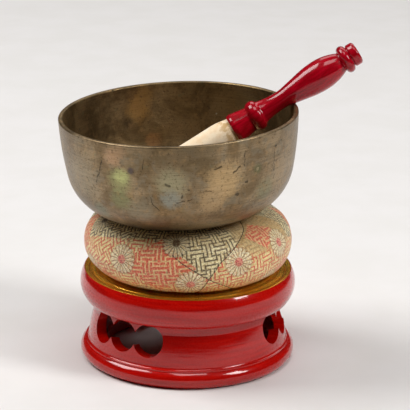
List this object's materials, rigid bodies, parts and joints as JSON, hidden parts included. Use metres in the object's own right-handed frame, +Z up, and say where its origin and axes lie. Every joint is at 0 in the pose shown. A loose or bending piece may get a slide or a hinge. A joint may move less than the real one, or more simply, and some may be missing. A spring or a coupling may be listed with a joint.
{
  "type": "altar singing bowl set",
  "caption": "Bronze altar bowl on a round brocade cushion and a turned, lacquered openwork ring stand, with a leather-headed striker leaning in the bowl.",
  "frame": {"origin": "centre of the stand's underside, on the surface that it stands on", "axes": "+Z up along the stand's axis; the striker's handle leans out over +X, and the side that the picture shows faces -Y"},
  "size_m": [0.1927, 0.1521, 0.205],
  "materials": {
    "red_lacquer": "polished red lacquer over turned wood",
    "gold_leaf": "gilt, semi-gloss",
    "bare_wood": "unfinished",
    "brocade": "woven gold brocade with red, ivory and black figures",
    "cotton": "loose cotton filling",
    "silk_thread": "twisted silk",
    "bronze": "hammered and turned, brown patina with verdigris",
    "striker_lacquer": "glossy crimson lacquer",
    "leather": "pale soft leather"
  },
  "bodies": {
    "stand": {"foot_ring": "red_lacquer", "openwork_drum": "red_lacquer", "top_ring": "red_lacquer", "gilt_seat_ring": "gold_leaf", "seat_board": "bare_wood"},
    "cushion": {"cushion_cover": "brocade", "cushion_filling": "cotton", "cushion_top_patch": "brocade", "cushion_bottom_patch": "brocade", "top_gather_thread": "silk_thread", "bottom_gather_thread": "silk_thread"},
    "bowl": {"bowl": "bronze"},
    "striker": {"striker_handle": "striker_lacquer", "striker_collar": "striker_lacquer", "striker_core": "bare_wood", "head_padding": "cotton", "head_leather": "leather"}
  },
  "joints": [
    {"name": "cushion_lift", "type": "slide", "parent": "stand", "child": "cushion", "axis": [0, 0, 1], "range_m": [0, 0.09]},
    {"name": "bowl_lift", "type": "slide", "parent": "cushion", "child": "bowl", "axis": [0, 0, 1], "range_m": [0, 0.09]},
    {"name": "striker_lift", "type": "slide", "parent": "bowl", "child": "striker", "axis": [0, 0, 1], "range_m": [0, 0.11]}
  ]
}
